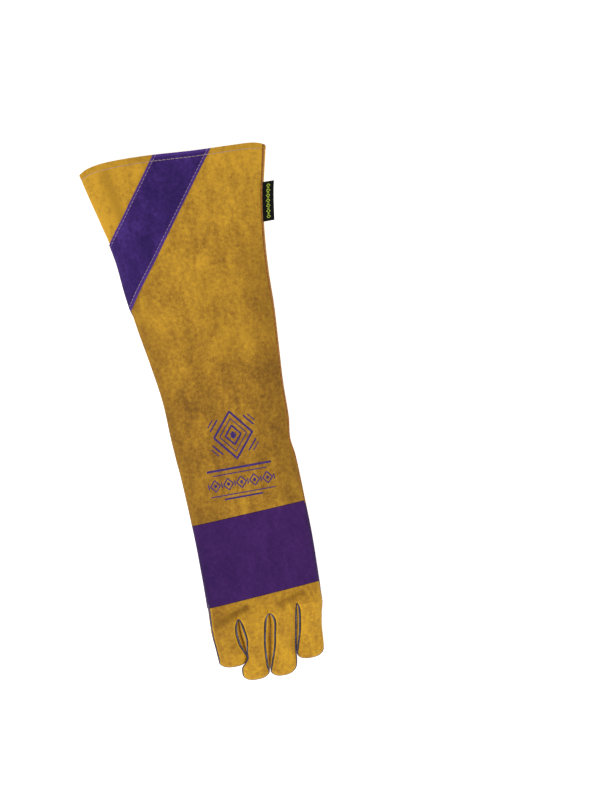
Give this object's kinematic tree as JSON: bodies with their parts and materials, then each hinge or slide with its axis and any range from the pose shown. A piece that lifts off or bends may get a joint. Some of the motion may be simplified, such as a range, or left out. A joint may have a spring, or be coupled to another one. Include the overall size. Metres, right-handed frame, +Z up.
{
  "type": "long suede work gauntlet",
  "caption": "Long flared split-leather gauntlet for the right hand, palm down, with welted fingers, purple reinforcing patches and a diagonal sleeve band.",
  "frame": {"origin": "on the surface the gauntlet lies on, under the centre of its box", "axes": "+Y from the fingertips to the hem, +Z up from the palm side to the back of the hand, +X to the thumb side"},
  "size_m": [0.2164, 0.6114, 0.0573],
  "materials": {
    "ochre_suede": "napped, matte",
    "purple_suede": "napped, matte",
    "welt": "smooth cut edge, matte",
    "label": "woven, matte"
  },
  "bodies": {
    "root": {"sleeve_back": "ochre_suede", "sleeve_front": "ochre_suede", "finger_backs": "ochre_suede", "palm": "ochre_suede", "thumb": "ochre_suede", "little_finger_front": "ochre_suede", "ring_finger_front": "ochre_suede", "middle_finger_front": "ochre_suede", "index_finger_front": "ochre_suede", "back_band": "purple_suede", "palm_patch": "purple_suede", "wrist_patch": "purple_suede", "stripe": "purple_suede", "wrist_welt": "purple_suede", "finger_base_welt": "purple_suede", "thumb_side_welt": "welt", "little_side_welt": "welt", "little_finger_welt": "welt", "ring_finger_welt": "welt", "middle_finger_welt": "welt", "index_finger_welt": "welt", "side_label": "label"}
  },
  "joints": []
}
